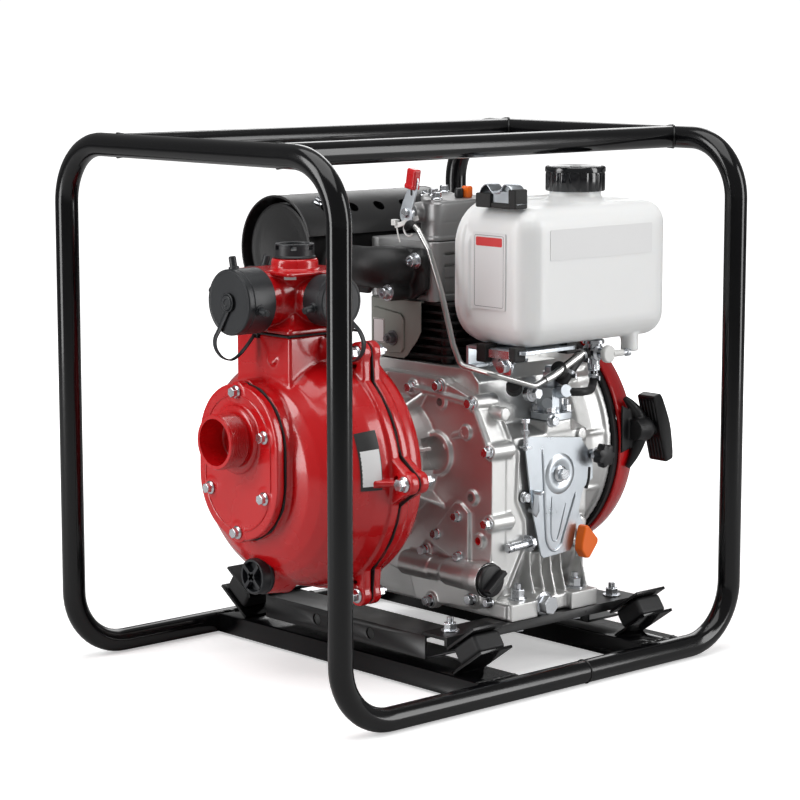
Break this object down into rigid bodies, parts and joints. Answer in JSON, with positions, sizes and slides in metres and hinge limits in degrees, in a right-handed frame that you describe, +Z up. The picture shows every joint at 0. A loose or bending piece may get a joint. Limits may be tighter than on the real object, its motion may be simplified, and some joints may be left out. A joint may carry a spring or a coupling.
{
  "type": "portable fire pump",
  "caption": "Diesel-driven centrifugal fire pump with capped discharge outlets, recoil starter and fuel tank, rubber-mounted in a tubular carrying cage.",
  "frame": {"origin": "centre of the cage footprint, on the floor under the skid runners", "axes": "+X to the fuel-tank side, +Y from the pump to the recoil starter, +Z up; the shaft axis runs along Y"},
  "size_m": [0.48, 0.6116, 0.5919],
  "materials": {
    "cage_black": "gloss black powder coat",
    "subframe_black": "satin black paint",
    "mount_rubber": "matt",
    "pump_red": "gloss red paint on cast iron",
    "starter_red": "gloss red paint",
    "gasket_black": "matt",
    "cap_plastic": "satin black moulding",
    "engine_plastic": "satin black moulding",
    "impeller_bronze": "machined bronze",
    "cast_aluminium": "raw die casting",
    "cylinder_black": "black heat-resistant paint",
    "zinc_steel": "zinc plated",
    "flywheel_iron": "machined",
    "exhaust_black": "matt heat-resistant black",
    "baffle_grey": "satin grey paint",
    "tank_white": "natural white moulding"
  },
  "bodies": {
    "chassis": {"front_hoop": "cage_black", "rear_hoop": "cage_black", "left_top_rail": "cage_black", "right_top_rail": "cage_black", "front_cross_member": "cage_black", "rear_cross_member": "cage_black", "subframe_front_channel": "subframe_black", "subframe_rear_channel": "subframe_black", "subframe_left_rail": "subframe_black", "subframe_right_rail": "subframe_black", "mount_front_left": "mount_rubber", "mount_front_right": "mount_rubber", "mount_rear_left": "mount_rubber", "mount_rear_right": "mount_rubber", "fuel_hose": "mount_rubber", "pump_casing": "pump_red", "pump_rear_cover": "pump_red", "suction_cover": "pump_red", "discharge_head": "pump_red", "recoil_housing": "starter_red", "casing_gasket": "gasket_black", "suction_gasket": "gasket_black", "head_gasket": "gasket_black", "shaft_seal": "gasket_black", "recoil_flange": "engine_plastic", "rope_guide": "engine_plastic", "tank_bracket": "engine_plastic", "crankcase": "cast_aluminium", "crankcase_cover": "cast_aluminium", "cylinder_head": "cast_aluminium", "rocker_cover": "cast_aluminium", "fan_housing": "cast_aluminium", "cylinder": "cylinder_black", "injection_pump": "zinc_steel", "fuel_cock": "zinc_steel", "return_pipe": "zinc_steel", "control_plate": "zinc_steel", "muffler": "exhaust_black", "heat_shield": "exhaust_black", "exhaust_elbow": "exhaust_black", "cylinder_baffle": "baffle_grey", "fuel_tank": "tank_white"},
    "rotor": {"crankshaft": "zinc_steel", "impeller": "impeller_bronze", "flywheel": "flywheel_iron"},
    "piston": {"piston": "cast_aluminium"},
    "pulley": {"recoil_pulley": "cap_plastic"},
    "handle": {"recoil_handle": "engine_plastic"},
    "front_cap": {"front_cap": "cap_plastic"},
    "right_cap": {"right_cap": "cap_plastic"},
    "left_cap": {"left_cap": "cap_plastic"},
    "priming_plug": {"priming_plug": "cap_plastic"},
    "drain_plug": {"drain_plug": "cap_plastic"},
    "fuel_cap": {"fuel_cap": "cap_plastic"},
    "oil_filler_cap": {"oil_filler_cap": "engine_plastic"},
    "cock_knob": {"fuel_cock_knob": "tank_white"},
    "speed_lever": {"speed_lever": "zinc_steel"},
    "speed_knob": {"speed_knob": "engine_plastic"},
    "stop_lever": {"stop_lever": "zinc_steel"},
    "decompression_lever": {"decompression_lever": "zinc_steel"}
  },
  "joints": [
    {"name": "rotor_spin", "type": "hinge", "parent": "chassis", "child": "rotor", "pos_m": [0, 0, 0.232], "axis": [0, 1, 0], "continuous": true},
    {"name": "piston_stroke", "type": "slide", "parent": "chassis", "child": "piston", "axis": [0, 0, 1], "range_m": [-0.06, 0]},
    {"name": "starter_pull", "type": "slide", "parent": "chassis", "child": "handle", "axis": [0, 1, 0], "range_m": [0, 0.5], "stiffness_N_per_m": 6, "springref_m": -0.25},
    {"name": "starter_reel", "type": "hinge", "parent": "chassis", "child": "pulley", "pos_m": [0, 0.225, 0.232], "axis": [0, 1, 0], "range_deg": [0, 422]},
    {"name": "front_cap_off", "type": "slide", "parent": "chassis", "child": "front_cap", "axis": [0, -1, 0], "range_m": [0, 0.045]},
    {"name": "right_cap_off", "type": "slide", "parent": "chassis", "child": "right_cap", "axis": [1, 0, 0], "range_m": [0, 0.045]},
    {"name": "left_cap_off", "type": "slide", "parent": "chassis", "child": "left_cap", "axis": [-1, 0, 0], "range_m": [0, 0.045]},
    {"name": "priming_plug_out", "type": "slide", "parent": "chassis", "child": "priming_plug", "axis": [0, 0, 1], "range_m": [0, 0.04]},
    {"name": "drain_plug_out", "type": "slide", "parent": "chassis", "child": "drain_plug", "axis": [0, -1, 0], "range_m": [0, 0.035]},
    {"name": "fuel_cap_turn", "type": "hinge", "parent": "chassis", "child": "fuel_cap", "pos_m": [0.126, 0.14, 0.5245], "axis": [0, 0, 1], "range_deg": [0, 90]},
    {"name": "oil_filler_cap_out", "type": "slide", "parent": "chassis", "child": "oil_filler_cap", "axis": [1, 0, 0], "range_m": [0, 0.03]},
    {"name": "fuel_cock_turn", "type": "hinge", "parent": "chassis", "child": "cock_knob", "pos_m": [0.1685, 0.147, 0.346], "axis": [1, 0, 0], "range_deg": [-90, 0]},
    {"name": "speed_lever_swing", "type": "hinge", "parent": "chassis", "child": "speed_lever", "pos_m": [0.157, 0.097, 0.2135], "axis": [1, 0, 0], "range_deg": [-30, 10]},
    {"name": "speed_knob_turn", "type": "hinge", "parent": "speed_lever", "child": "speed_knob", "pos_m": [0.1593, 0.142, 0.233], "axis": [1, 0, 0], "range_deg": [0, 540]},
    {"name": "stop_lever_swing", "type": "hinge", "parent": "chassis", "child": "stop_lever", "pos_m": [0.151, 0.047, 0.181], "axis": [1, 0, 0], "range_deg": [-25, 25]},
    {"name": "decompression_lever_swing", "type": "hinge", "parent": "chassis", "child": "decompression_lever", "pos_m": [0.016, -0.0104, 0.501], "axis": [0, 1, 0], "range_deg": [-75, 0]}
  ],
  "couplings": [
    {"joint": "starter_reel", "follows": "starter_pull", "rad_per_m": 14.706}
  ]
}
